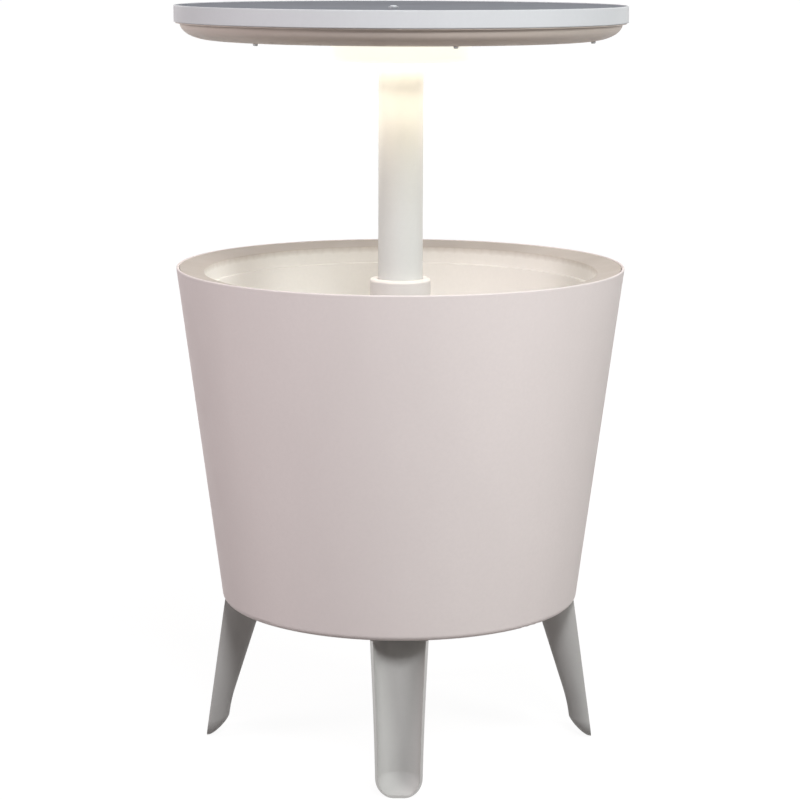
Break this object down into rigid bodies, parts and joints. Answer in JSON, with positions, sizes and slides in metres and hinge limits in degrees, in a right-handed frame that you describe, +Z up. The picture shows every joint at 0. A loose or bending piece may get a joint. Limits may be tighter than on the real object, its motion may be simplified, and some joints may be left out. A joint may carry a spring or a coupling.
{
  "type": "cooler bar table",
  "caption": "Round patio table with an insulated ice tub on splayed legs, a lifting and twisting table top on a pole, and a lamp under the lid.",
  "frame": {"origin": "on the floor under the pole, centre of the footprint", "axes": "+Z up along the pole, -Y towards the front leg, +X to the right seen from the front"},
  "size_m": [0.4962, 0.4962, 0.8306],
  "materials": {
    "tub_plastic": "satin moulded, warm white",
    "liner_plastic": "smooth moulded, cream white",
    "foam": null,
    "glide_plastic": "low-friction moulded",
    "collar_plastic": "satin moulded",
    "leg_plastic": "satin moulded, grey white",
    "screw_steel": "plain stainless",
    "seal_rubber": "soft black",
    "plug_plastic": "satin moulded, grey",
    "pole_plastic": "smooth extruded, white",
    "band_plastic": "satin moulded, white",
    "inlay_plastic": "fine grained, grey",
    "dish_plastic": "satin moulded, warm grey white",
    "lamp_plastic": "moulded, white",
    "board": "coated circuit board",
    "led": "clear resin",
    "diffuser": "frosted, lit from inside",
    "cell": "bare shrink sleeve",
    "contact_steel": "nickel plated",
    "button_plastic": "polished",
    "bezel_steel": "polished ring",
    "switch_plastic": "moulded black",
    "lead_cover": "insulated wire"
  },
  "bodies": {
    "cooler": {"outer_shell": "tub_plastic", "inner_liner": "liner_plastic", "pole_tube": "liner_plastic", "insulation_foam": "foam", "guide_sleeve": "glide_plastic", "pole_collar": "collar_plastic", "leg_front": "leg_plastic", "leg_right": "leg_plastic", "leg_back": "leg_plastic", "leg_left": "leg_plastic", "leg_screws": "screw_steel", "drain_spout": "collar_plastic", "drain_seal": "seal_rubber", "drain_nut": "leg_plastic"},
    "glide": {"glide_ring": "glide_plastic"},
    "table": {"pole": "pole_plastic", "pole_end_plug": "glide_plastic", "retaining_washer": "screw_steel", "retaining_screw": "screw_steel", "pole_head": "pole_plastic", "pole_head_screws": "screw_steel", "pole_cross_pin": "screw_steel", "table_top": "band_plastic", "top_inlay": "inlay_plastic", "lid_shell": "dish_plastic", "lid_screws": "screw_steel", "lamp_base": "lamp_plastic", "lamp_board": "board", "lamp_leds": "led", "lamp_screws": "screw_steel", "lamp_diffuser": "diffuser", "battery_tray": "lamp_plastic", "battery_cells": "cell", "battery_contacts": "contact_steel", "battery_door": "dish_plastic", "battery_door_screws": "screw_steel", "button_bezel": "bezel_steel", "lamp_switch": "switch_plastic", "lamp_leads": "lead_cover"},
    "button": {"lamp_button": "button_plastic"},
    "plug": {"drain_plug": "plug_plastic", "drain_plug_seal": "seal_rubber"}
  },
  "joints": [
    {"name": "table_lift", "type": "slide", "parent": "cooler", "child": "glide", "axis": [0, 0, 1], "range_m": [-0.254, 0]},
    {"name": "table_twist", "type": "hinge", "parent": "glide", "child": "table", "pos_m": [0, 0, 0.45], "axis": [0, 0, 1], "range_deg": [0, 30]},
    {"name": "button_press", "type": "slide", "parent": "table", "child": "button", "axis": [0, 0, -1], "range_m": [0, 0.0015], "stiffness_N_per_m": 600, "springref_m": -0.0005},
    {"name": "drain_plug_pull", "type": "slide", "parent": "cooler", "child": "plug", "axis": [0, 0, -1], "range_m": [0, 0.03]}
  ]
}
